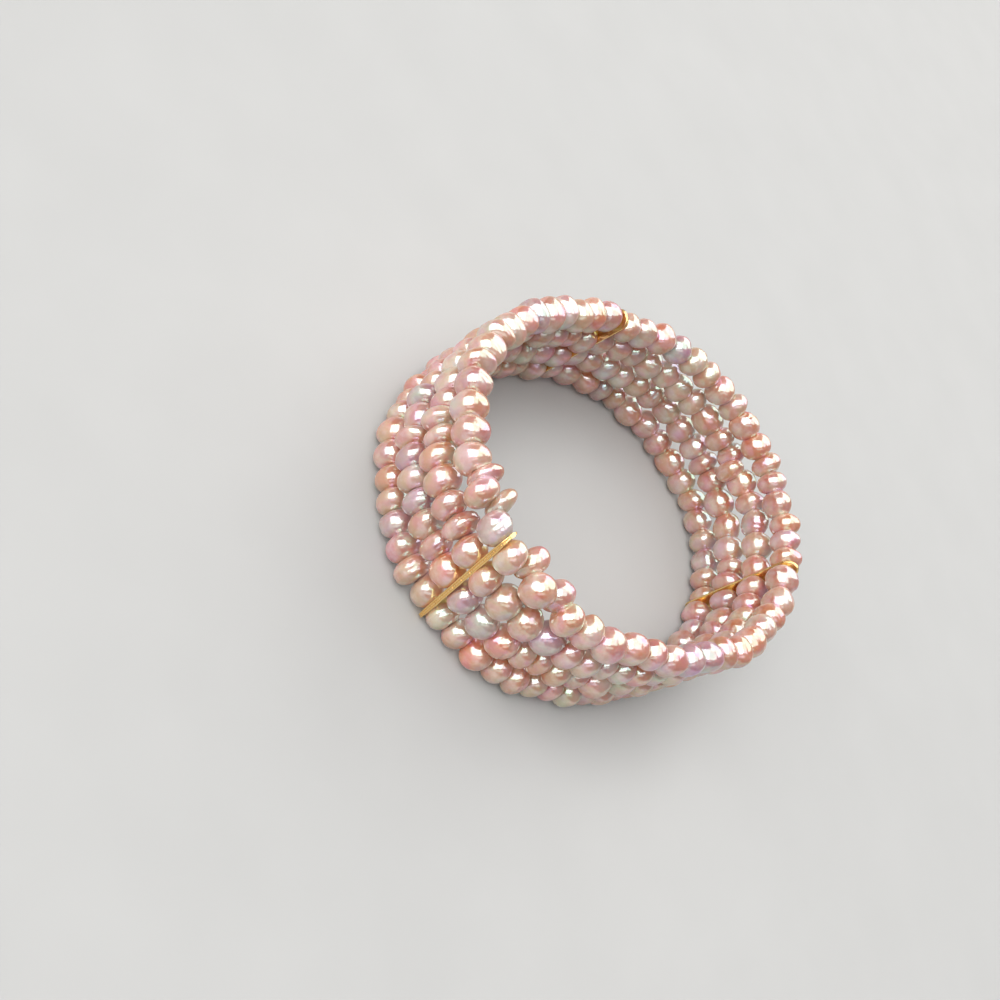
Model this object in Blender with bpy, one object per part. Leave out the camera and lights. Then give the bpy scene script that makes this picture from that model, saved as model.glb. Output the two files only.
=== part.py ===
"""Pearl bracelet: four closed strands of freshwater button pearls on elastic cord, kept side by side
by three gold spacer bars that the cords pass through. Metres, +Z up. The bracelet lies on its side,
so its wrist opening faces up: the origin is under the middle of the loop, and +X is its long way."""

import math
import random

import bmesh
import bpy
import numpy as np
from mathutils import Vector

MM = 0.001

# Pearls
ROWS = 4
PEARL_LENGTH = 3.43 * MM  # along the string
PEARL_WIDTH = 5.14 * MM  # of the widest pearl, across the string
NARROWEST_PEARL = 0.84  # share of the widest
LENGTH_SPREAD = 0.2  # how far a pearl's length strays, as a share
ROW_GAP = 0.3 * MM  # between the widest pearls of two rows
WANDER = 0.5 * MM  # how far a pearl strays outwards or inwards from its string
SHOULDER = 0.42  # where a pearl reaches its width, as a share of its half length
NECK = 0.44  # radius where two pearls meet, as a share of their half width
END_NECK = 0.3  # the same where a pearl faces a bar
SIDES = 10

# Elastic cord
CORD_DIAMETER = 0.6 * MM
CORD_CLEARANCE = 0.35 * MM  # round the cord in a bar's hole

# Spacer bars
BAR_DEPTH = 3.4 * MM  # from the wrist side to the outer side
PLATE_THICKNESS = 0.34 * MM
EDGE_WIDTH = 0.8 * MM  # of the thicker strip along a bar's outer edge
EDGE_DEPTH = 0.5 * MM
EDGE_SLOPE = 0.25 * MM  # over which the strip thins to the plate
GROOVE_WIDTH = 0.4 * MM  # down the middle of the strip
GROOVE_DEPTH = 0.2 * MM
BAR_CORNER = 1.0 * MM  # cut off the plate's four corners
BAR_SHORT = 0.5 * MM  # how far a bar's top stops below the band's
BAR_CHAMFER = 0.08 * MM
BAR_CLEARANCE = 0.3 * MM  # between a bar and the pearls beside it
HOLE_SIDES = 12

# Loop
OVAL = 0.118  # how far the loop's radius strays from a circle, as a share
OVAL_TURN = math.radians(-8)  # from the lowest edge of the band to the highest
FIRST_BAR = math.radians(21.5)  # round the loop from +X
CURVE_STEPS = 1440

# One bar each: its name, the pearls of each row from it to the next bar, the share of the loop's pearls
# by length that they are, their width against PEARL_WIDTH, and how far the bar's top leans back. The
# shares make up 1.
BARS = (
    {
        "name": "spacer_bar_1",
        "pearls_after": 19,
        "share_after": 0.362,
        "width_after": 0.97,
        "lean": math.radians(12),
    },
    {
        "name": "spacer_bar_2",
        "pearls_after": 16,
        "share_after": 0.310,
        "width_after": 0.9,
        "lean": math.radians(-5),
    },
    {
        "name": "spacer_bar_3",
        "pearls_after": 19,
        "share_after": 0.328,
        "width_after": 1.0,
        "lean": math.radians(4),
    },
)

# Pearls that sit inside the line of their row, behind their two neighbours
PUSHED_IN = (
    {"row": 4, "after_bar": 1, "pearl": 2, "inwards": 2.3 * MM},
    {"row": 4, "after_bar": 1, "pearl": 4, "inwards": 2.2 * MM},
    {"row": 4, "after_bar": 3, "pearl": 18, "inwards": 2.3 * MM},
    {"row": 4, "after_bar": 3, "pearl": 16, "inwards": 1.7 * MM},
    {"row": 2, "after_bar": 1, "pearl": 9, "inwards": 1.4 * MM},
    {"row": 3, "after_bar": 2, "pearl": 6, "inwards": 1.4 * MM},
)
PUSHED_SHARE = 0.4  # of the string that such a pearl takes up, against the others

ROW_PITCH = PEARL_WIDTH + ROW_GAP
BAND_HEIGHT = (ROWS - 1) * ROW_PITCH + PEARL_WIDTH
BAR_SEAT = PLATE_THICKNESS + 2 * BAR_CLEARANCE  # what a bar takes up along the string
PEARLS_LENGTH = sum(bar["pearls_after"] for bar in BARS) * PEARL_LENGTH  # of all pearls of a row
LOOP_LENGTH = PEARLS_LENGTH + len(BARS) * BAR_SEAT
BAR_HEIGHT = BAND_HEIGHT - BAR_SHORT
SEED = 11


def unit_oval(turn):
    """Angles round the loop, and how far along an oval of mean radius 1 each of them is."""
    angles = np.linspace(0, 2 * math.pi, CURVE_STEPS + 1)
    radius = 1 + OVAL * np.cos(2 * (angles - turn))
    points = np.stack([radius * np.cos(angles), radius * np.sin(angles)], axis=1)
    steps = np.linalg.norm(np.diff(points, axis=0), axis=1)
    return angles, np.concatenate([[0], np.cumsum(steps)])


LOOP_RADIUS = LOOP_LENGTH / unit_oval(0.0)[1][-1]


def turn_at(height):
    return OVAL_TURN * (height / BAND_HEIGHT - 0.5)


def loop_frame(height, along):
    """The point of the loop at this height and length along it, its direction there and the way out."""
    turn = turn_at(height)
    angles, lengths = unit_oval(turn)
    wrapped = along / LOOP_RADIUS % lengths[-1]
    angle = float(np.interp(wrapped, lengths, angles))
    radius = 1 + OVAL * math.cos(2 * (angle - turn))
    slope = -2 * OVAL * math.sin(2 * (angle - turn))
    point = Vector((radius * math.cos(angle), radius * math.sin(angle), 0)) * LOOP_RADIUS
    direction = Vector((
        slope * math.cos(angle) - radius * math.sin(angle),
        slope * math.sin(angle) + radius * math.cos(angle),
        0,
    )).normalized()
    outward = direction.cross(Vector((0, 0, 1)))
    return point + Vector((0, 0, height)), direction, outward


def bar_middles():
    """How far along the loop the middle of each bar is, in order round it."""
    angles, lengths = unit_oval(0.0)
    along = float(np.interp(FIRST_BAR, angles, lengths)) * LOOP_RADIUS
    middles = []
    for bar in BARS:
        middles.append(along)
        along += bar["share_after"] * PEARLS_LENGTH + BAR_SEAT
    return middles


def bar_along(index, height):
    """How far along the loop a bar is at this height, with its lean."""
    bar = BARS[index % len(BARS)]
    laps = index // len(BARS)
    middle = bar_middles()[index % len(BARS)] + laps * LOOP_LENGTH
    return middle - math.tan(bar["lean"]) * (height - BAND_HEIGHT / 2)


def lean_at(along):
    """The lean of the pearls at this place, blended from the bars on both sides."""
    middles = bar_middles()
    leans = [bar["lean"] for bar in BARS]
    return float(np.interp(along, middles + [middles[0] + LOOP_LENGTH], leans + leans[:1]))


def row_height(row):
    return PEARL_WIDTH / 2 + row * ROW_PITCH


def pushes_of(row, index):
    """How far each pushed-in pearl of this row and span sits inwards, by its number."""
    here = [push for push in PUSHED_IN if push["row"] == row + 1 and push["after_bar"] == index + 1]
    return {push["pearl"] - 1: push["inwards"] for push in here}


def pearls_between(rng, start, end, bar, pushes):
    """The pearls that fill a string from start to end, each with its place, sizes and offsets."""
    count = bar["pearls_after"]
    widest = bar["width_after"] * PEARL_WIDTH / 2
    shares = [1 + LENGTH_SPREAD * rng.uniform(-1, 1) for _ in range(count)]
    shares = [share * (PUSHED_SHARE if number in pushes else 1) for number, share in enumerate(shares)]
    scale = (end - start) / sum(shares)
    pearls = []
    begin = start
    for number, share in enumerate(shares):
        length = share * scale
        across_out = widest * rng.uniform(NARROWEST_PEARL, 1)
        across_up = widest * rng.uniform(NARROWEST_PEARL, 1)
        pearls.append({
            "begin": begin,
            "length": length,
            "half_out": across_out,
            "half_up": across_up,
            "out": WANDER * rng.uniform(-1, 1) - pushes.get(number, 0),
            "up": (PEARL_WIDTH / 2 - across_up) * rng.uniform(-1, 1),
        })
        begin += length
    return pearls


def strand_spans(row):
    """For each span between two bars, the pearls of this row."""
    rng = random.Random(SEED + row)
    height = row_height(row)
    spans = []
    for index, bar in enumerate(BARS):
        start = bar_along(index, height) + BAR_SEAT / 2
        end = bar_along(index + 1, height) - BAR_SEAT / 2
        spans.append(pearls_between(rng, start, end, bar, pushes_of(row, index)))
    return spans


def ring(height, along, out, up, half_out, half_up):
    """The corners of one section across a string. It has a corner at its top and a flat side facing
    outwards, which stands out by half_out."""
    point, direction, outward = loop_frame(height, along)
    lean = math.tan(lean_at(along))
    flat_reach = math.cos(math.pi / SIDES)
    corners = []
    for side in range(SIDES):
        angle = 2 * math.pi * (side + 0.5) / SIDES
        sideways = out + half_out * math.cos(angle) / flat_reach
        upward = up + half_up * math.sin(angle)
        shift = outward * sideways + Vector((0, 0, upward)) - direction * (lean * upward)
        corners.append(point + shift)
    return corners


def end_rings(height, along, pearl):
    """The cord and the small flat face where a pearl faces a bar, from the cord outwards."""
    cord = CORD_DIAMETER / 2
    face = (END_NECK * pearl["half_out"], END_NECK * pearl["half_up"])
    return [ring(height, along, 0, 0, cord, cord), ring(height, along, 0, 0, *face)]


def neck_ring(height, along, before, after):
    """The section where two pearls meet."""
    half_out = NECK * min(before["half_out"], after["half_out"])
    half_up = NECK * min(before["half_up"], after["half_up"])
    out = (before["out"] + after["out"]) / 2
    up = (before["up"] + after["up"]) / 2
    return ring(height, along, out, up, half_out, half_up)


def strand_rings(row):
    """All sections of one closed strand: the pearls, and bare cord where it passes a bar."""
    height = row_height(row)
    rings = []
    for pearls in strand_spans(row):
        first = pearls[0]
        last = pearls[-1]
        rings.extend(end_rings(height, first["begin"], first))
        for before, pearl in zip([None] + pearls, pearls):
            if before:
                rings.append(neck_ring(height, pearl["begin"], before, pearl))
            middle = pearl["begin"] + pearl["length"] / 2
            reach = SHOULDER * pearl["length"] / 2
            for along in (middle - reach, middle + reach):
                rings.append(ring(
                    height, along, pearl["out"], pearl["up"], pearl["half_out"], pearl["half_up"]
                ))
        rings.extend(reversed(end_rings(height, last["begin"] + last["length"], last)))
    return rings


def add_object(name, bm, material):
    mesh = bpy.data.meshes.new(name)
    bm.to_mesh(mesh)
    bm.free()
    mesh.materials.append(material)
    obj = bpy.data.objects.new(name, mesh)
    bpy.context.scene.collection.objects.link(obj)
    return obj


def skin(bm, rings, closed):
    """Faces from each ring of corners to the next. A closed skin joins its last ring to the first."""
    loops = [[bm.verts.new(corner) for corner in corners] for corners in rings]
    following = loops[1:] + loops[:1] if closed else loops[1:]
    for lower, upper in zip(loops, following):
        for side in range(len(lower)):
            after = (side + 1) % len(lower)
            bm.faces.new((lower[side], lower[after], upper[after], upper[side]))
    if not closed:
        bm.faces.new(loops[0])
        bm.faces.new(loops[-1])
    bmesh.ops.recalc_face_normals(bm, faces=bm.faces)


def make_strand(row):
    bm = bmesh.new()
    skin(bm, strand_rings(row), closed=True)
    name = f"strand_{row + 1}"
    strand = add_object(name, bm, pearl_material(name))
    strand.data.shade_smooth()
    return strand


def bar_outline(trim):
    """A bar's section as (outwards, along the string) pairs: a thin plate whose outer edge is a thicker
    strip with a groove down its middle. trim is how much shorter it is on both sides."""
    depth = BAR_DEPTH / 2 - trim
    plate = PLATE_THICKNESS / 2
    edge = EDGE_WIDTH / 2
    half = [
        (depth - GROOVE_DEPTH, GROOVE_WIDTH / 2),
        (depth, GROOVE_WIDTH / 2),
        (depth, edge - BAR_CHAMFER),
        (depth - BAR_CHAMFER, edge),
        (depth - EDGE_DEPTH, edge),
        (depth - EDGE_DEPTH - EDGE_SLOPE, plate),
        (BAR_CHAMFER - depth, plate),
        (-depth, plate - BAR_CHAMFER),
    ]
    return half + [(out, -along) for out, along in reversed(half)]


def bar_section(index, height, trim):
    """The corners of a bar's section at this height. All its sections face the same way."""
    foot = loop_frame(0, bar_along(index, 0))[0]
    head = loop_frame(BAND_HEIGHT, bar_along(index, BAND_HEIGHT))[0]
    middle_height = BAND_HEIGHT / 2
    _, direction, outward = loop_frame(middle_height, bar_along(index, middle_height))
    centre = foot.lerp(head, height / BAND_HEIGHT)
    return [centre + outward * out + direction * along for out, along in bar_outline(trim)]


def make_bar_holes(index):
    """The cutter for the holes that the cords pass through."""
    bm = bmesh.new()
    radius = CORD_DIAMETER / 2 + CORD_CLEARANCE
    for row in range(ROWS):
        height = row_height(row)
        point, direction, _ = loop_frame(height, bar_along(index, height))
        made = bmesh.ops.create_cone(
            bm,
            cap_ends=True,
            segments=HOLE_SIDES,
            radius1=radius,
            radius2=radius,
            depth=2 * EDGE_WIDTH,
        )
        turned = direction.to_track_quat("Z", "Y")
        for vert in made["verts"]:
            vert.co = turned @ vert.co + point
    cutter = add_object(BARS[index]["name"] + "_holes", bm, gold_material("cutter"))
    cutter.hide_render = True
    cutter.display_type = "WIRE"
    return cutter


def make_bar(index):
    bm = bmesh.new()
    sections = (
        (0, BAR_CORNER),
        (BAR_CORNER, 0),
        (BAR_HEIGHT - BAR_CORNER, 0),
        (BAR_HEIGHT, BAR_CORNER),
    )
    skin(bm, [bar_section(index, height, trim) for height, trim in sections], closed=False)
    name = BARS[index]["name"]
    bar = add_object(name, bm, gold_material(name))
    holes = bar.modifiers.new("cord holes", "BOOLEAN")
    holes.operation = "DIFFERENCE"
    holes.object = make_bar_holes(index)
    return bar


def plain_material(name, colour, roughness, metallic):
    material = bpy.data.materials.new(name)
    material.use_nodes = True
    shader = material.node_tree.nodes["Principled BSDF"]
    shader.inputs["Base Color"].default_value = (*colour, 1)
    shader.inputs["Roughness"].default_value = roughness
    shader.inputs["Metallic"].default_value = metallic
    return material


def pearl_material(name):
    material = plain_material(name + "_nacre", (0.80, 0.52, 0.44), 0.28, 0)
    shader = material.node_tree.nodes["Principled BSDF"]
    shader.inputs["Coat Weight"].default_value = 0.6
    shader.inputs["Coat Roughness"].default_value = 0.12
    return material


def gold_material(name):
    return plain_material(name + "_gold", (0.84, 0.56, 0.22), 0.25, 1)


def main():
    for obj in list(bpy.data.objects):
        bpy.data.objects.remove(obj, do_unlink=True)
    for row in range(ROWS):
        make_strand(row)
    for index in range(len(BARS)):
        make_bar(index)


main()
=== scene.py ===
"""A stretch bracelet of four rows of freshwater button pearls with three gold spacer bars, lying on its
side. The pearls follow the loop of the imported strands; their skins, dents, rings and tints are made here."""

import math
import random

import bmesh
import bpy
import numpy as np
from mathutils import Matrix, Vector


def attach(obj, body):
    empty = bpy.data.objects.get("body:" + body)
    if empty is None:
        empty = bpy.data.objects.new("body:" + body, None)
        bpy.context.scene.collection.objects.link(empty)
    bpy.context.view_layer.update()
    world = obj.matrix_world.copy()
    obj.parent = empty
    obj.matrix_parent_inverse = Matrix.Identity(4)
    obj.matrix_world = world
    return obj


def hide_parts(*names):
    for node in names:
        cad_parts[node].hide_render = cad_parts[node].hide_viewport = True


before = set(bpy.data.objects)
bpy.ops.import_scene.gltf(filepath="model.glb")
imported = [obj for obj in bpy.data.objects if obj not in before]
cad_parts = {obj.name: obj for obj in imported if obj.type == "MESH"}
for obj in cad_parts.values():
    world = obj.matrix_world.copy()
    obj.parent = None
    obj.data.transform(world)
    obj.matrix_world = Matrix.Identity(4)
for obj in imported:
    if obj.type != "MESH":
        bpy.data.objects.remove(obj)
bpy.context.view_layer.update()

MM = 0.001

# Sizes of the loop, its pearls and bars, as in the part
ROWS = 4
PEARL_LENGTH = 3.43 * MM
PEARL_WIDTH = 5.14 * MM
NARROWEST_PEARL = 0.84
LENGTH_SPREAD = 0.2
ROW_GAP = 0.3 * MM
WANDER = 0.5 * MM
CORD_DIAMETER = 0.6 * MM
CORD_CLEARANCE = 0.35 * MM
BAR_DEPTH = 3.4 * MM
PLATE_THICKNESS = 0.34 * MM
EDGE_WIDTH = 0.8 * MM
EDGE_DEPTH = 0.5 * MM
EDGE_SLOPE = 0.25 * MM
BAR_SHORT = 0.5 * MM
BAR_CLEARANCE = 0.3 * MM
GROOVE_WIDTH = 0.4 * MM
GROOVE_DEPTH = 0.2 * MM
OVAL = 0.118
OVAL_TURN = math.radians(-8)
FIRST_BAR = math.radians(21.5)
CURVE_STEPS = 1440
BARS = (
    {
        "name": "spacer_bar_1",
        "pearls_after": 19,
        "share_after": 0.362,
        "width_after": 0.97,
        "lean": math.radians(12),
    },
    {
        "name": "spacer_bar_2",
        "pearls_after": 16,
        "share_after": 0.310,
        "width_after": 0.9,
        "lean": math.radians(-5),
    },
    {
        "name": "spacer_bar_3",
        "pearls_after": 19,
        "share_after": 0.328,
        "width_after": 1.0,
        "lean": math.radians(4),
    },
)
PUSHED_IN = (
    {"row": 4, "after_bar": 1, "pearl": 2, "inwards": 2.3 * MM},
    {"row": 4, "after_bar": 1, "pearl": 4, "inwards": 2.2 * MM},
    {"row": 4, "after_bar": 3, "pearl": 18, "inwards": 2.3 * MM},
    {"row": 4, "after_bar": 3, "pearl": 16, "inwards": 1.7 * MM},
    {"row": 2, "after_bar": 1, "pearl": 9, "inwards": 1.4 * MM},
    {"row": 3, "after_bar": 2, "pearl": 6, "inwards": 1.4 * MM},
)
PUSHED_SHARE = 0.4
ROW_PITCH = PEARL_WIDTH + ROW_GAP
BAND_HEIGHT = (ROWS - 1) * ROW_PITCH + PEARL_WIDTH
BAR_SEAT = PLATE_THICKNESS + 2 * BAR_CLEARANCE
PEARLS_LENGTH = sum(bar["pearls_after"] for bar in BARS) * PEARL_LENGTH
LOOP_LENGTH = PEARLS_LENGTH + len(BARS) * BAR_SEAT
BAR_HEIGHT = BAND_HEIGHT - BAR_SHORT
SEED = 11

# The finer skin of each pearl
AROUND = 48
ALONG = 30
LOOKS_SEED = 5
FULLNESS = 1.1  # a pearl's length against its share of the string, over 1 so that neighbours touch
PUSHED_FULLNESS = 2.1  # the same for a pearl that is pushed inwards
TILT = math.radians(3)  # how far a pearl may lean up or down
SWAY = math.radians(8)  # how far a pearl may turn inwards or outwards
ROUNDNESS = 0.85  # under 1 fills the shoulders of a pearl out
LANE_FILL = 0.6  # how much of the room between its neighbour rows a narrow pearl takes up after all
INSET = 0.08 * MM  # how far the outer rows stay inside the band's edges
NEAR_BAR = 0.2 * MM  # how much closer to a bar a pearl comes than the part's, which keeps clear of it

# Hills and hollows all over a pearl: how many, how high as a share of its radius, and their angles
RELIEF = (
    {"name": "lobes", "count": 6, "height": 0.07, "reach": (0.6, 1.1)},
    {"name": "bumps", "count": 16, "height": 0.026, "reach": (0.28, 0.5)},
)
DENTED_SHARE = 0.4
DENTS = (1, 3)
DENT_DEPTHS = (0.02, 0.07)
DENT_REACHES = (0.12, 0.25)
RINGED_SHARE = 0.25
RINGS = (2, 5)
RING_SLANT = 0.4
RING_DEPTHS = (0.02, 0.045)
RING_SPREAD = 0.6
RING_WIDTH = 0.055
DRILL_DEPTH = 0.16
DRILL_REACH = 0.16

# The bits of bare cord beside the bars
CORD_IN_PEARL = 0.8 * MM
CORD_RINGS = 7
CORD_SIDES = 12


def unit_oval(turn):
    """Angles round the loop, and how far along an oval of mean radius 1 each of them is."""
    angles = np.linspace(0, 2 * math.pi, CURVE_STEPS + 1)
    radius = 1 + OVAL * np.cos(2 * (angles - turn))
    points = np.stack([radius * np.cos(angles), radius * np.sin(angles)], axis=1)
    steps = np.linalg.norm(np.diff(points, axis=0), axis=1)
    return angles, np.concatenate([[0], np.cumsum(steps)])


LOOP_RADIUS = LOOP_LENGTH / unit_oval(0.0)[1][-1]


def loop_frame(height, along):
    """The point of the loop at this height and length along it, its direction there and the way out."""
    turn = OVAL_TURN * (height / BAND_HEIGHT - 0.5)
    angles, lengths = unit_oval(turn)
    wrapped = along / LOOP_RADIUS % lengths[-1]
    angle = float(np.interp(wrapped, lengths, angles))
    radius = 1 + OVAL * math.cos(2 * (angle - turn))
    slope = -2 * OVAL * math.sin(2 * (angle - turn))
    point = Vector((radius * math.cos(angle), radius * math.sin(angle), 0)) * LOOP_RADIUS
    direction = Vector((
        slope * math.cos(angle) - radius * math.sin(angle),
        slope * math.sin(angle) + radius * math.cos(angle),
        0,
    )).normalized()
    outward = direction.cross(Vector((0, 0, 1)))
    return point + Vector((0, 0, height)), direction, outward


def bar_middles():
    """How far along the loop the middle of each bar is, in order round it."""
    angles, lengths = unit_oval(0.0)
    along = float(np.interp(FIRST_BAR, angles, lengths)) * LOOP_RADIUS
    middles = []
    for bar in BARS:
        middles.append(along)
        along += bar["share_after"] * PEARLS_LENGTH + BAR_SEAT
    return middles


def bar_along(index, height):
    """How far along the loop a bar is at this height, with its lean."""
    bar = BARS[index % len(BARS)]
    laps = index // len(BARS)
    middle = bar_middles()[index % len(BARS)] + laps * LOOP_LENGTH
    return middle - math.tan(bar["lean"]) * (height - BAND_HEIGHT / 2)


def lean_at(along):
    """The lean of the pearls at this place, blended from the bars on both sides."""
    middles = bar_middles()
    leans = [bar["lean"] for bar in BARS]
    return float(np.interp(along, middles + [middles[0] + LOOP_LENGTH], leans + leans[:1]))


def row_height(row):
    return PEARL_WIDTH / 2 + row * ROW_PITCH


def pushes_of(row, index):
    """How far each pushed-in pearl of this row and span sits inwards, by its number."""
    here = [push for push in PUSHED_IN if push["row"] == row + 1 and push["after_bar"] == index + 1]
    return {push["pearl"] - 1: push["inwards"] for push in here}


def pearls_between(rng, start, end, bar, pushes):
    """The pearls that fill a string from start to end, as the part places them."""
    count = bar["pearls_after"]
    widest = bar["width_after"] * PEARL_WIDTH / 2
    shares = [1 + LENGTH_SPREAD * rng.uniform(-1, 1) for _ in range(count)]
    shares = [share * (PUSHED_SHARE if number in pushes else 1) for number, share in enumerate(shares)]
    scale = (end - start) / sum(shares)
    pearls = []
    begin = start
    for number, share in enumerate(shares):
        length = share * scale
        across_out = widest * rng.uniform(NARROWEST_PEARL, 1)
        across_up = widest * rng.uniform(NARROWEST_PEARL, 1)
        pearls.append({
            "begin": begin,
            "length": length,
            "half_out": across_out,
            "half_up": across_up,
            "out": WANDER * rng.uniform(-1, 1) - pushes.get(number, 0),
            "up": (PEARL_WIDTH / 2 - across_up) * rng.uniform(-1, 1),
            "fullness": PUSHED_FULLNESS if number in pushes else FULLNESS,
            "shift": 0,
        })
        begin += length
    pearls[0]["shift"] = -NEAR_BAR
    pearls[-1]["shift"] = NEAR_BAR
    return pearls


def strand_spans(row):
    """For each span between two bars, the pearls of this row."""
    rng = random.Random(SEED + row)
    height = row_height(row)
    spans = []
    for index, bar in enumerate(BARS):
        start = bar_along(index, height) + BAR_SEAT / 2
        end = bar_along(index + 1, height) - BAR_SEAT / 2
        spans.append(pearls_between(rng, start, end, bar, pushes_of(row, index)))
    return spans


# Body colours of the pearls, with how often each turns up
BODY_COLOURS = (
    {"name": "peach", "colour": (0.56, 0.18, 0.085), "often": 36},
    {"name": "rose", "colour": (0.54, 0.155, 0.105), "often": 26},
    {"name": "orange", "colour": (0.60, 0.16, 0.055), "often": 16},
    {"name": "lavender", "colour": (0.44, 0.165, 0.17), "often": 9},
    {"name": "cream", "colour": (0.58, 0.27, 0.16), "often": 13},
)
# The pale colours that play over the nacre
ORIENT_COLOURS = (
    {"name": "cream", "colour": (0.92, 1.0, 0.90), "often": 30},
    {"name": "mint", "colour": (0.48, 1.0, 0.72), "often": 26},
    {"name": "ice", "colour": (0.48, 0.86, 1.0), "often": 18},
    {"name": "lilac", "colour": (0.74, 0.60, 1.0), "often": 18},
    {"name": "pink", "colour": (1.0, 0.70, 0.80), "often": 8},
)
GLOSS_COLOUR = (0.76, 1.0, 0.98)  # of the nacre between those patches
# Patches of these colours on a pearl: how many, how strong and how wide in radians
BODY_PATCHES = {"count": 3, "strength": (0.05, 0.3), "reach": (0.4, 0.9), "brightness": 0.9}
GLOSS_PATCHES = {"count": 5, "strength": (0.4, 1.0), "reach": (0.35, 0.8)}
DEEPER_PATCH = {"strength": (0.1, 0.5), "reach": (0.6, 1.2), "shade": (0.95, 0.85, 0.85)}
BODY_SPREAD = 0.05  # how far each part of a body colour may stray, as a share


def pick(rng, table):
    """One row of a table, each as likely as its often says."""
    return rng.choices(table, weights=[row["often"] for row in table])[0]


def random_direction(rng):
    along = rng.uniform(-1, 1)
    angle = rng.uniform(0, 2 * math.pi)
    across = math.sqrt(1 - along * along)
    return np.array((along, across * math.cos(angle), across * math.sin(angle)))


def pearl_grid():
    """Directions of a unit pearl's points, its string along the first axis, and its faces."""
    directions = [(-1.0, 0.0, 0.0)]
    for step in range(1, ALONG):
        slope = math.pi * step / ALONG
        for side in range(AROUND):
            angle = 2 * math.pi * side / AROUND
            across = math.sin(slope)
            directions.append((-math.cos(slope), across * math.cos(angle), across * math.sin(angle)))
    directions.append((1.0, 0.0, 0.0))
    faces = []
    last = len(directions) - 1
    for side in range(AROUND):
        after = (side + 1) % AROUND
        faces.append((0, 1 + after, 1 + side))
        faces.append((last, last - AROUND + side, last - AROUND + after))
        for step in range(ALONG - 2):
            lower = 1 + step * AROUND
            upper = lower + AROUND
            faces.append((lower + side, lower + after, upper + after, upper + side))
    return np.array(directions), faces


GRID, GRID_FACES = pearl_grid()


def swell(directions, towards, reach):
    """A smooth hill of height 1 round one direction, reach being its angle in radians."""
    angle = np.arccos(np.clip(directions @ towards, -1, 1))
    return np.exp(-((angle / reach) ** 2))


def pearl_relief(rng):
    """How far each point of a pearl stands out or in, as a factor on its distance from the middle."""
    relief = np.ones(len(GRID))
    for kind in RELIEF:
        for _ in range(kind["count"]):
            rise = rng.gauss(0, kind["height"])
            relief += rise * swell(GRID, random_direction(rng), rng.uniform(*kind["reach"]))
    if rng.random() < DENTED_SHARE:
        for _ in range(rng.randint(*DENTS)):
            depth = rng.uniform(*DENT_DEPTHS)
            relief -= depth * swell(GRID, random_direction(rng), rng.uniform(*DENT_REACHES))
    if rng.random() < RINGED_SHARE:
        slant = [rng.uniform(-RING_SLANT, RING_SLANT) for _ in range(2)]
        axis = np.array([1.0] + slant)
        height = GRID @ (axis / np.linalg.norm(axis))
        for _ in range(rng.randint(*RINGS)):
            depth = rng.uniform(*RING_DEPTHS)
            away = height - rng.uniform(-RING_SPREAD, RING_SPREAD)
            relief -= depth * np.exp(-((away / RING_WIDTH) ** 2))
    drill = np.hypot(GRID[:, 1], GRID[:, 2])
    relief -= DRILL_DEPTH * np.exp(-((drill / DRILL_REACH) ** 2))
    return relief


def height_range(row, pearl):
    """How far down and up a pearl reaches. It fills most of its lane, inside the band's two edges."""
    middle = row_height(row)
    low = middle + pearl["up"] - pearl["half_up"]
    high = middle + pearl["up"] + pearl["half_up"]
    low += LANE_FILL * (middle - ROW_PITCH / 2 - low)
    high += LANE_FILL * (middle + ROW_PITCH / 2 - high)
    return max(low, INSET), min(high, BAND_HEIGHT - INSET)


def pearl_points(rng, row, pearl):
    """A pearl's points about its own middle: along the string, outwards and up."""
    shape = np.sign(GRID) * np.abs(GRID) ** ROUNDNESS
    shape[:, 0] = GRID[:, 0]
    shape *= pearl_relief(rng)[:, None]
    shape -= (shape.max(axis=0) + shape.min(axis=0)) / 2
    shape /= shape.max(axis=0)
    low, high = height_range(row, pearl)
    half_length = pearl["fullness"] * pearl["length"] / 2
    return shape * (half_length, pearl["half_out"], (high - low) / 2)


def patch_amount(rng, kind):
    """How much of a patch's colour each point of a pearl takes, as one column."""
    strength = rng.uniform(*kind["strength"])
    return (strength * swell(GRID, random_direction(rng), rng.uniform(*kind["reach"])))[:, None]


def pearl_tints(rng):
    """The colour of each point of a pearl, and the tint of its gloss there."""
    body = np.array(pick(rng, BODY_COLOURS)["colour"])
    body = body * np.array([rng.uniform(1 - BODY_SPREAD, 1 + BODY_SPREAD) for _ in range(3)])
    tints = np.tile(body, (len(GRID), 1))
    for _ in range(BODY_PATCHES["count"]):
        patch = np.array(pick(rng, ORIENT_COLOURS)["colour"]) * BODY_PATCHES["brightness"]
        tints += patch_amount(rng, BODY_PATCHES) * (patch - tints)
    deeper = np.array(pick(rng, BODY_COLOURS)["colour"]) * DEEPER_PATCH["shade"]
    tints += patch_amount(rng, DEEPER_PATCH) * (deeper - tints)
    gloss = np.tile(GLOSS_COLOUR, (len(GRID), 1))
    for _ in range(GLOSS_PATCHES["count"]):
        patch = np.array(pick(rng, ORIENT_COLOURS)["colour"])
        gloss += patch_amount(rng, GLOSS_PATCHES) * (patch - gloss)
    return np.clip(tints, 0, 1), gloss


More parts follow.
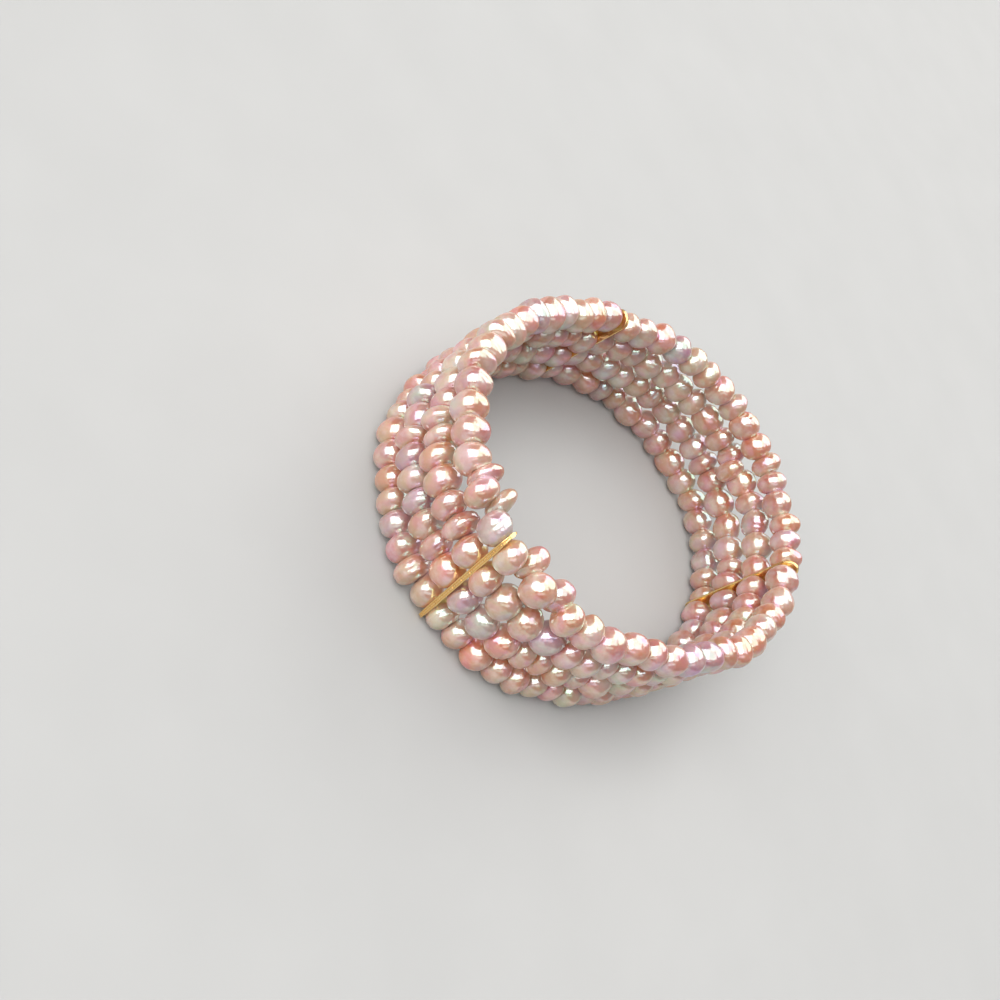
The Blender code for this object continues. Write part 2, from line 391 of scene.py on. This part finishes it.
def pearl_placement(rng, row, pearl):
    """The matrix from a pearl's own axes to the bracelet."""
    height = row_height(row)
    middle = pearl["begin"] + pearl["length"] / 2
    point, direction, outward = loop_frame(height, middle)
    up = Vector((0, 0, 1))
    low, high = height_range(row, pearl)
    centre = point + outward * pearl["out"] + up * ((low + high) / 2 - height)
    centre += direction * pearl["shift"]
    axes = Matrix((direction, outward, up)).transposed()
    lean = Matrix.Rotation(lean_at(middle), 3, outward)
    tilt = Matrix.Rotation(rng.gauss(0, TILT), 3, outward)
    sway = Matrix.Rotation(rng.gauss(0, SWAY), 3, up)
    return centre, np.array(tilt @ sway @ lean @ axes)


def cord_bits(row):
    """Short runs of bare cord, from inside the last pearl before each bar to inside the next one."""
    height = row_height(row)
    reach = BAR_SEAT / 2 + CORD_IN_PEARL
    for index in range(len(BARS)):
        middle = bar_along(index, height)
        rings = []
        for step in range(CORD_RINGS):
            away = reach * (2 * step / (CORD_RINGS - 1) - 1)
            point, _, outward = loop_frame(height, middle + away)
            ring = []
            for side in range(CORD_SIDES):
                angle = 2 * math.pi * side / CORD_SIDES
                across = outward * math.cos(angle) + Vector((0, 0, math.sin(angle)))
                ring.append(point + across * CORD_DIAMETER / 2)
            rings.append(ring)
        yield rings


def make_pearl_row(row, nacre, elastic):
    """All the pearls of one row in one mesh, with the bits of cord that show beside the bars."""
    rng = random.Random(LOOKS_SEED * 100 + row)
    points = []
    faces = []
    tints = []
    glosses = []
    for pearls in strand_spans(row):
        for pearl in pearls:
            start = len(points) * len(GRID)
            centre, turn = pearl_placement(rng, row, pearl)
            points.append(pearl_points(rng, row, pearl) @ turn.T + np.array(centre))
            tint, gloss = pearl_tints(rng)
            tints.append(tint)
            glosses.append(gloss)
            faces.extend([tuple(start + corner for corner in face) for face in GRID_FACES])
    vertices = np.concatenate(points)
    tints = np.concatenate(tints)
    glosses = np.concatenate(glosses)
    pearl_faces = len(faces)
    corners = [tuple(vertex) for vertex in vertices]
    for rings in cord_bits(row):
        start = len(corners)
        sides = len(rings[0])
        for ring in rings:
            corners.extend(tuple(corner) for corner in ring)
        for step in range(len(rings) - 1):
            for side in range(sides):
                after = (side + 1) % sides
                lower = start + step * sides
                upper = lower + sides
                faces.append((lower + side, lower + after, upper + after, upper + side))
        faces.append(tuple(start + side for side in reversed(range(sides))))
        faces.append(tuple(start + (len(rings) - 1) * sides + side for side in range(sides)))
    name = f"pearl_row_{row + 1}"
    mesh = bpy.data.meshes.new(name)
    mesh.from_pydata(corners, [], faces)
    mesh.materials.append(nacre)
    mesh.materials.append(elastic)
    kinds = np.zeros(len(faces), dtype=np.int32)
    kinds[pearl_faces:] = 1
    mesh.polygons.foreach_set("material_index", kinds)
    mesh.shade_smooth()
    for attribute, values in (("tint", tints), ("gloss", glosses)):
        layer = mesh.color_attributes.new(attribute, "FLOAT_COLOR", "POINT")
        colours = np.ones((len(corners), 4), dtype=np.float32)
        colours[:len(values), :3] = values
        layer.data.foreach_set("color", colours.ravel())
    piece = bpy.data.objects.new(name, mesh)
    bpy.context.scene.collection.objects.link(piece)
    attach(piece, "root")
    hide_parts(f"strand_{row + 1}")


def new_material(name):
    material = bpy.data.materials.new(name)
    material.use_nodes = True
    nodes = material.node_tree.nodes
    return material, nodes, material.node_tree.links, nodes["Principled BSDF"]


def nacre_material():
    """Pearl nacre: a tinted, faintly see-through body under a strong gloss that has pale colours in it."""
    material, nodes, links, shader = new_material("nacre")
    tint = nodes.new("ShaderNodeAttribute")
    tint.attribute_name = "tint"
    gloss = nodes.new("ShaderNodeAttribute")
    gloss.attribute_name = "gloss"
    place = nodes.new("ShaderNodeTexCoord")
    cloud = nodes.new("ShaderNodeTexNoise")
    cloud.inputs["Scale"].default_value = 420
    cloud.inputs["Detail"].default_value = 3
    links.new(place.outputs["Object"], cloud.inputs["Vector"])
    paler = nodes.new("ShaderNodeMix")
    paler.data_type = "RGBA"
    paler.inputs["B"].default_value = (0.96, 0.80, 0.72, 1)
    amount = nodes.new("ShaderNodeMapRange")
    amount.inputs["From Min"].default_value = 0.45
    amount.inputs["From Max"].default_value = 0.75
    amount.inputs["To Max"].default_value = 0.35
    links.new(cloud.outputs["Fac"], amount.inputs["Value"])
    links.new(amount.outputs["Result"], paler.inputs["Factor"])
    links.new(tint.outputs["Color"], paler.inputs["A"])
    links.new(paler.outputs["Result"], shader.inputs["Base Color"])

    waves = nodes.new("ShaderNodeTexNoise")
    waves.inputs["Scale"].default_value = 450
    waves.inputs["Detail"].default_value = 1
    links.new(place.outputs["Object"], waves.inputs["Vector"])
    orient = nodes.new("ShaderNodeValToRGB")
    stops = orient.color_ramp.elements
    stops[0].position, stops[0].color = 0.36, (0.78, 0.54, 1.0, 1)
    stops[1].position, stops[1].color = 0.66, (0.42, 0.80, 1.0, 1)
    stops.new(0.46).color = (0.90, 1.0, 0.92, 1)
    stops.new(0.56).color = (0.42, 1.0, 0.66, 1)
    links.new(waves.outputs["Fac"], orient.inputs["Fac"])
    play = nodes.new("ShaderNodeMix")
    play.data_type = "RGBA"
    play.inputs["Factor"].default_value = 0.5
    links.new(gloss.outputs["Color"], play.inputs["A"])
    links.new(orient.outputs["Color"], play.inputs["B"])
    links.new(play.outputs["Result"], shader.inputs["Specular Tint"])

    ripples = nodes.new("ShaderNodeTexNoise")
    ripples.inputs["Scale"].default_value = 800
    ripples.inputs["Detail"].default_value = 1.5
    links.new(place.outputs["Object"], ripples.inputs["Vector"])
    bump = nodes.new("ShaderNodeBump")
    bump.inputs["Strength"].default_value = 0.5
    bump.inputs["Distance"].default_value = 0.2 * MM
    links.new(ripples.outputs["Fac"], bump.inputs["Height"])
    links.new(bump.outputs["Normal"], shader.inputs["Normal"])
    links.new(bump.outputs["Normal"], shader.inputs["Coat Normal"])

    satin = nodes.new("ShaderNodeMapRange")
    satin.inputs["To Min"].default_value = 0.1
    satin.inputs["To Max"].default_value = 0.22
    links.new(cloud.outputs["Fac"], satin.inputs["Value"])
    links.new(satin.outputs["Result"], shader.inputs["Roughness"])
    shader.inputs["Metallic"].default_value = 0.05
    shader.inputs["IOR"].default_value = 2.55
    shader.inputs["Specular IOR Level"].default_value = 1.0
    shader.inputs["Subsurface Weight"].default_value = 0.35
    shader.inputs["Subsurface Radius"].default_value = (1.0, 0.4, 0.25)
    shader.inputs["Subsurface Scale"].default_value = 1.0 * MM
    shader.inputs["Coat Weight"].default_value = 0.25
    shader.inputs["Coat Roughness"].default_value = 0.13
    shader.inputs["Coat IOR"].default_value = 1.6
    shader.inputs["Sheen Weight"].default_value = 0.25
    shader.inputs["Sheen Roughness"].default_value = 0.35
    shader.inputs["Sheen Tint"].default_value = (1.0, 0.90, 0.86, 1)
    return material


def gold_material():
    """Polished yellow gold with fine wear."""
    material, nodes, links, shader = new_material("polished_gold")
    place = nodes.new("ShaderNodeTexCoord")
    wear = nodes.new("ShaderNodeTexNoise")
    wear.inputs["Scale"].default_value = 1800
    wear.inputs["Detail"].default_value = 4
    links.new(place.outputs["Object"], wear.inputs["Vector"])
    ramp = nodes.new("ShaderNodeMapRange")
    ramp.inputs["To Min"].default_value = 0.1
    ramp.inputs["To Max"].default_value = 0.28
    links.new(wear.outputs["Fac"], ramp.inputs["Value"])
    links.new(ramp.outputs["Result"], shader.inputs["Roughness"])
    tone = nodes.new("ShaderNodeMix")
    tone.data_type = "RGBA"
    tone.inputs["A"].default_value = (0.90, 0.54, 0.18, 1)
    tone.inputs["B"].default_value = (1.0, 0.74, 0.36, 1)
    links.new(wear.outputs["Fac"], tone.inputs["Factor"])
    links.new(tone.outputs["Result"], shader.inputs["Base Color"])
    bump = nodes.new("ShaderNodeBump")
    bump.inputs["Strength"].default_value = 0.25
    bump.inputs["Distance"].default_value = 0.03 * MM
    links.new(wear.outputs["Fac"], bump.inputs["Height"])
    links.new(bump.outputs["Normal"], shader.inputs["Normal"])
    shader.inputs["Metallic"].default_value = 1
    return material


def elastic_material():
    """Clear elastic cord, slightly milky."""
    material, nodes, links, shader = new_material("clear_elastic")
    place = nodes.new("ShaderNodeTexCoord")
    cloud = nodes.new("ShaderNodeTexNoise")
    cloud.inputs["Scale"].default_value = 1500
    links.new(place.outputs["Object"], cloud.inputs["Vector"])
    milk = nodes.new("ShaderNodeMix")
    milk.data_type = "RGBA"
    milk.inputs["A"].default_value = (0.78, 0.74, 0.70, 1)
    milk.inputs["B"].default_value = (0.92, 0.90, 0.88, 1)
    links.new(cloud.outputs["Fac"], milk.inputs["Factor"])
    links.new(milk.outputs["Result"], shader.inputs["Base Color"])
    shader.inputs["Roughness"].default_value = 0.3
    shader.inputs["Subsurface Weight"].default_value = 0.3
    shader.inputs["Subsurface Scale"].default_value = 0.5 * MM
    return material


# The finer form of a bar
BAR_STEPS = 180
BAR_ROUNDING = 1.4 * MM  # of the plate's four corners
TAPER = 5 * MM  # over which the edge strip narrows towards its ends
NOTCH_PITCH = 0.5 * MM
NOTCH_DEPTH = 0.05 * MM
EDGE_ROUNDING = 0.2 * MM
INNER_ROUNDING = 0.1 * MM
BEVEL = 0.3  # where a rounded corner's middle lies, as a share of its rounding
NARROW_END = 0.25  # how far along its taper the strip already is at the bar's ends
RUN_OUT = 0.3  # how fast the groove deepens from the bar's ends
HOLE_SIDES = 24
SHARP_ANGLE = math.radians(40)


def bar_outline(trim, narrow, floor):
    """A bar's section as (outwards, along the string) pairs: a thin plate with a thicker strip as its outer
    edge. The strip's groove is as deep as floor says, and narrow is the share of its full width."""
    depth = BAR_DEPTH / 2 - trim
    plate = PLATE_THICKNESS / 2
    edge = plate + narrow * (EDGE_WIDTH / 2 - plate)
    groove = narrow * GROOVE_WIDTH / 2
    rounding = min(EDGE_ROUNDING, (edge - groove) / 2)
    half = [
        (depth - floor, 0.0),
        (depth - floor, 0.6 * groove),
        (depth - 0.3 * floor, 0.9 * groove),
        (depth, groove + 0.4 * rounding),
        (depth, edge - rounding),
        (depth - BEVEL * rounding, edge - BEVEL * rounding),
        (depth - rounding, edge),
        (depth - EDGE_DEPTH, edge),
        (depth - EDGE_DEPTH - EDGE_SLOPE, plate),
        (INNER_ROUNDING - depth, plate),
        (BEVEL * INNER_ROUNDING - depth, plate - BEVEL * INNER_ROUNDING),
        (-depth, plate - INNER_ROUNDING),
    ]
    return half + [(out, -along) for out, along in reversed(half[1:])]


def make_bar(index, gold):
    """A spacer bar: a thin plate with rounded corners, and down its outer edge a notched, grooved strip."""
    foot = loop_frame(0, bar_along(index, 0))[0]
    head = loop_frame(BAND_HEIGHT, bar_along(index, BAND_HEIGHT))[0]
    middle_height = BAND_HEIGHT / 2
    _, direction, outward = loop_frame(middle_height, bar_along(index, middle_height))
    bm = bmesh.new()
    loops = []
    for step in range(BAR_STEPS + 1):
        height = BAR_HEIGHT * (1 - math.cos(math.pi * step / BAR_STEPS)) / 2
        from_end = min(height, BAR_HEIGHT - height)
        short = max(0.0, BAR_ROUNDING - from_end)
        trim = BAR_ROUNDING - math.sqrt(BAR_ROUNDING**2 - short**2)
        narrow = math.sin(math.pi / 2 * min(1.0, NARROW_END + from_end / TAPER))
        floor = GROOVE_DEPTH - NOTCH_DEPTH * (1 + math.sin(2 * math.pi * height / NOTCH_PITCH))
        floor = min(floor, RUN_OUT * from_end)
        centre = foot.lerp(head, height / BAND_HEIGHT)
        section = bar_outline(trim, narrow, floor)
        places = [centre + outward * out + direction * along for out, along in section]
        loops.append([bm.verts.new(place) for place in places])
    for lower, upper in zip(loops, loops[1:]):
        for side in range(len(lower)):
            after = (side + 1) % len(lower)
            bm.faces.new((lower[side], lower[after], upper[after], upper[side]))
    bm.faces.new(loops[0])
    bm.faces.new(loops[-1])
    bmesh.ops.recalc_face_normals(bm, faces=bm.faces)
    cut = bmesh.new()
    for row in range(ROWS):
        height = row_height(row)
        point, way, _ = loop_frame(height, bar_along(index, height))
        made = bmesh.ops.create_cone(
            cut,
            cap_ends=True,
            segments=HOLE_SIDES,
            radius1=CORD_DIAMETER / 2 + CORD_CLEARANCE,
            radius2=CORD_DIAMETER / 2 + CORD_CLEARANCE,
            depth=2 * EDGE_WIDTH,
        )
        turned = way.to_track_quat("Z", "Y")
        for vert in made["verts"]:
            vert.co = turned @ vert.co + point
    bar = link_mesh(f"gold_bar_{index + 1}", bm, gold)
    cutter = link_mesh(f"gold_bar_{index + 1}_holes", cut, gold)
    holes = bar.modifiers.new("cord holes", "BOOLEAN")
    holes.operation = "DIFFERENCE"
    holes.object = cutter
    apply_modifiers(bar)
    bpy.data.objects.remove(cutter, do_unlink=True)
    bar.data.shade_smooth()
    bar.data.set_sharp_from_angle(angle=SHARP_ANGLE)
    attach(bar, "root")
    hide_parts(BARS[index]["name"])


def link_mesh(name, bm, material):
    mesh = bpy.data.meshes.new(name)
    bm.to_mesh(mesh)
    bm.free()
    mesh.materials.append(material)
    obj = bpy.data.objects.new(name, mesh)
    bpy.context.scene.collection.objects.link(obj)
    return obj


def apply_modifiers(obj):
    """Puts what an object's modifiers make into its own mesh."""
    graph = bpy.context.evaluated_depsgraph_get()
    made = bpy.data.meshes.new_from_object(obj.evaluated_get(graph))
    obj.modifiers.clear()
    obj.data = made


FLOOR_REACH = 30  # metres from the bracelet to the floor's edges


def make_floor():
    material, nodes, links, shader = new_material("pale_floor")
    place = nodes.new("ShaderNodeTexCoord")
    grain = nodes.new("ShaderNodeTexNoise")
    grain.inputs["Scale"].default_value = 60
    links.new(place.outputs["Object"], grain.inputs["Vector"])
    tone = nodes.new("ShaderNodeMix")
    tone.data_type = "RGBA"
    tone.inputs["A"].default_value = (0.42, 0.413, 0.406, 1)
    tone.inputs["B"].default_value = (0.45, 0.443, 0.436, 1)
    links.new(grain.outputs["Fac"], tone.inputs["Factor"])
    links.new(tone.outputs["Result"], shader.inputs["Base Color"])
    shader.inputs["Roughness"].default_value = 0.75
    bm = bmesh.new()
    bmesh.ops.create_grid(bm, x_segments=1, y_segments=1, size=FLOOR_REACH)
    floor = link_mesh("floor", bm, material)


# The camera: where it stands and which way is ahead and up, worked out from the photo's perspective
CAMERA_PLACE = Vector((4.8294, 1.6937, 4.0109)) * LOOP_RADIUS + Vector((0, 0, BAND_HEIGHT / 2))
CAMERA_AHEAD = Vector((-0.6878, -0.2777, -0.6707))
CAMERA_UP = Vector((0.0556, -0.9414, 0.3327))
CAMERA_LENS = 46.8

# Soft boxes that face the bracelet: the way to each, its width and height in metres, and its radiance
LIGHT_DISTANCE = 3.0
LIGHTS = (
    {
        "name": "window_left",
        "towards": (0.97, -0.22, 0.59),
        "size": (4.5, 3.5),
        "radiance": 2.8,
        "colour": (1.0, 1.0, 0.99),
    },
    {
        "name": "window_right",
        "towards": (0.27, -0.15, 1.28),
        "size": (3.4, 3.1),
        "radiance": 1.8,
        "colour": (0.96, 1.0, 1.0),
    },
    {
        "name": "fill",
        "towards": (0.66, 0.70, 0.52),
        "size": (3.0, 0.84),
        "radiance": 0.9,
        "colour": (1.0, 0.97, 0.96),
    },
    {
        "name": "back",
        "towards": (-0.80, -0.50, 0.75),
        "size": (3.3, 3.0),
        "radiance": 2.2,
        "colour": (1.0, 0.98, 0.95),
    },
)


def make_camera():
    data = bpy.data.cameras.new("camera")
    data.lens = CAMERA_LENS
    data.sensor_width = 36
    camera = bpy.data.objects.new("camera", data)
    bpy.context.scene.collection.objects.link(camera)
    ahead = CAMERA_AHEAD.normalized()
    right = ahead.cross(CAMERA_UP).normalized()
    up = right.cross(ahead)
    axes = Matrix((right, up, -ahead)).transposed()
    camera.matrix_world = Matrix.Translation(CAMERA_PLACE) @ axes.to_4x4()
    bpy.context.scene.camera = camera


def make_light(box):
    """One soft box. It faces the bracelet, and its width lies level in the camera's picture."""
    data = bpy.data.lights.new(box["name"], "AREA")
    data.shape = "RECTANGLE"
    data.size, data.size_y = box["size"]
    data.energy = box["radiance"] * math.pi * data.size * data.size_y
    data.color = box["colour"]
    light = bpy.data.objects.new(box["name"], data)
    light.visible_camera = False
    bpy.context.scene.collection.objects.link(light)
    back = Vector(box["towards"]).normalized()
    across = CAMERA_UP.cross(back).normalized()
    axes = Matrix((across, back.cross(across), back)).transposed()
    light.matrix_world = Matrix.Translation(back * LIGHT_DISTANCE) @ axes.to_4x4()


def make_lights():
    for box in LIGHTS:
        make_light(box)
    world = bpy.data.worlds.new("studio")
    bpy.context.scene.world = world
    world.use_nodes = True
    sky = world.node_tree.nodes["Background"]
    sky.inputs["Color"].default_value = (0.90, 0.92, 0.95, 1)
    sky.inputs["Strength"].default_value = 0.28


def main():
    nacre = nacre_material()
    elastic = elastic_material()
    gold = gold_material()
    for row in range(ROWS):
        make_pearl_row(row, nacre, elastic)
    for index in range(len(BARS)):
        make_bar(index, gold)
    make_floor()
    make_camera()
    make_lights()
    bpy.context.scene.view_settings.view_transform = "Standard"


main()
